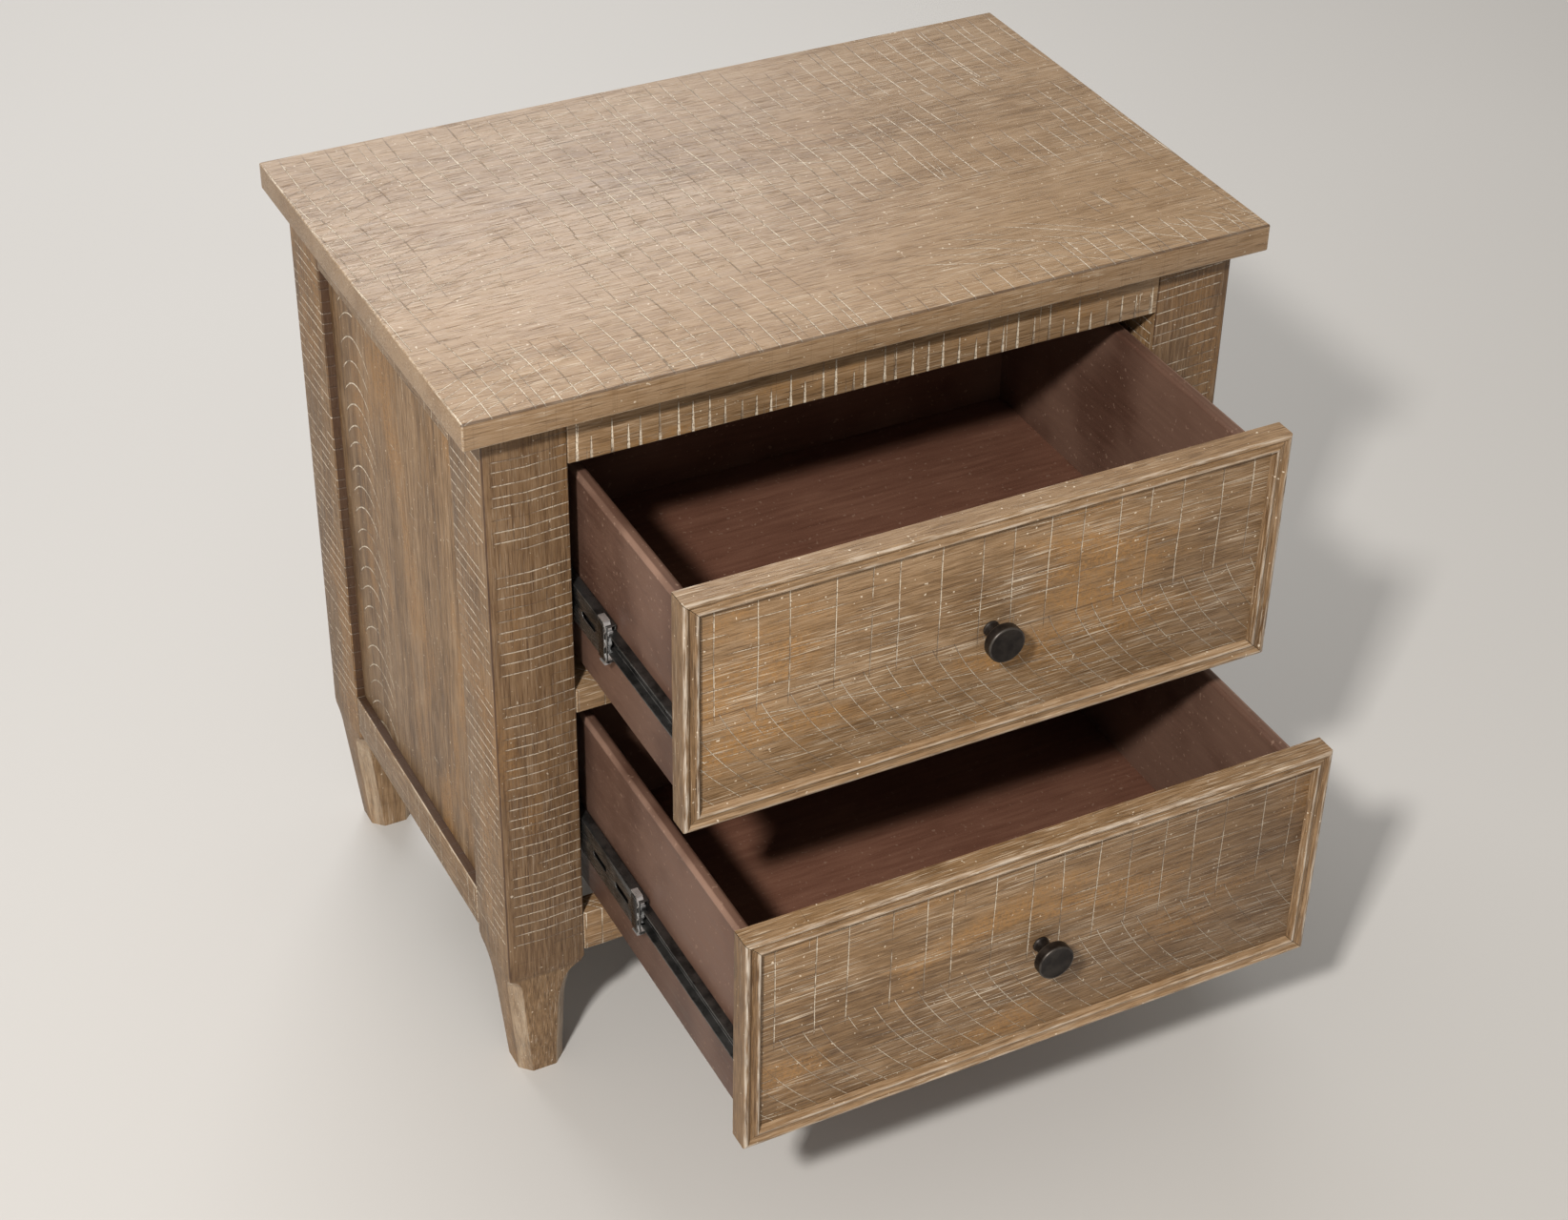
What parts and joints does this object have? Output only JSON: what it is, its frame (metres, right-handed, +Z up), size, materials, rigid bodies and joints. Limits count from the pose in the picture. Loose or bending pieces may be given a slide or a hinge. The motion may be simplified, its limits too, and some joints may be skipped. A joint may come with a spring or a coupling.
{
  "type": "nightstand with drawers",
  "caption": "Weathered-oak nightstand with square tapered-foot legs, framed side panels and inset moulded drawers on full-extension ball-bearing slides, drawers standing part open.",
  "frame": {"origin": "on the floor under the middle of the bounding box of the rest pose, with both drawers part open", "axes": "+Z up, drawers open towards -Y, +Y out of the back, +X to the right when facing the front"},
  "size_m": [0.711, 0.762, 0.705],
  "materials": {
    "oak": "weathered, wire-brushed, limed saw marks, satin",
    "drawer_wood": "red-brown satin lacquer",
    "board": "matt plywood",
    "slide_steel": "black zinc, satin",
    "zinc": "bright zinc plate",
    "bronze": "dark oil-rubbed bronze"
  },
  "bodies": {
    "carcass": {"tabletop": "oak", "leg_front_left": "oak", "leg_front_right": "oak", "leg_back_left": "oak", "leg_back_right": "oak", "front_top_rail": "oak", "front_middle_rail": "oak", "front_bottom_rail": "oak", "side_top_rail_left": "oak", "side_top_rail_right": "oak", "side_bottom_rail_left": "oak", "side_bottom_rail_right": "oak", "side_panel_left": "oak", "side_panel_right": "oak", "back_bottom_rail": "oak", "back_panel": "board", "slide_cleat_upper_left": "oak", "slide_cleat_upper_right": "oak", "slide_cleat_lower_left": "oak", "slide_cleat_lower_right": "oak", "upper_slide_cabinet_left": "slide_steel", "upper_slide_cabinet_right": "slide_steel", "lower_slide_cabinet_left": "slide_steel", "lower_slide_cabinet_right": "slide_steel"},
    "upper_drawer": {"upper_front_panel": "oak", "upper_moulding_top": "oak", "upper_moulding_bottom": "oak", "upper_moulding_left": "oak", "upper_moulding_right": "oak", "upper_box_left": "drawer_wood", "upper_box_right": "drawer_wood", "upper_box_front": "drawer_wood", "upper_box_back": "drawer_wood", "upper_bottom_panel": "drawer_wood", "upper_knob": "bronze", "upper_knob_screw": "zinc", "upper_slide_drawer_left": "slide_steel", "upper_slide_drawer_right": "slide_steel"},
    "lower_drawer": {"lower_front_panel": "oak", "lower_moulding_top": "oak", "lower_moulding_bottom": "oak", "lower_moulding_left": "oak", "lower_moulding_right": "oak", "lower_box_left": "drawer_wood", "lower_box_right": "drawer_wood", "lower_box_front": "drawer_wood", "lower_box_back": "drawer_wood", "lower_bottom_panel": "drawer_wood", "lower_knob": "bronze", "lower_knob_screw": "zinc", "lower_slide_drawer_left": "slide_steel", "lower_slide_drawer_right": "slide_steel"},
    "upper_slide_carrier": {"upper_slide_middle_left": "slide_steel", "upper_slide_middle_right": "slide_steel", "upper_slide_bracket_left": "zinc", "upper_slide_bracket_right": "zinc"},
    "lower_slide_carrier": {"lower_slide_middle_left": "slide_steel", "lower_slide_middle_right": "slide_steel", "lower_slide_bracket_left": "zinc", "lower_slide_bracket_right": "zinc"}
  },
  "joints": [
    {"name": "upper_drawer_slide", "type": "slide", "parent": "carcass", "child": "upper_drawer", "axis": [0, -1, 0], "range_m": [-0.2, 0.15]},
    {"name": "lower_drawer_slide", "type": "slide", "parent": "carcass", "child": "lower_drawer", "axis": [0, -1, 0], "range_m": [-0.305, 0.045]},
    {"name": "upper_carrier_slide", "type": "slide", "parent": "carcass", "child": "upper_slide_carrier", "axis": [0, -1, 0], "range_m": [-0.1, 0.075]},
    {"name": "lower_carrier_slide", "type": "slide", "parent": "carcass", "child": "lower_slide_carrier", "axis": [0, -1, 0], "range_m": [-0.1525, 0.0225]}
  ],
  "couplings": [
    {"joint": "upper_carrier_slide", "follows": "upper_drawer_slide", "ratio": 0.5},
    {"joint": "lower_carrier_slide", "follows": "lower_drawer_slide", "ratio": 0.5}
  ]
}
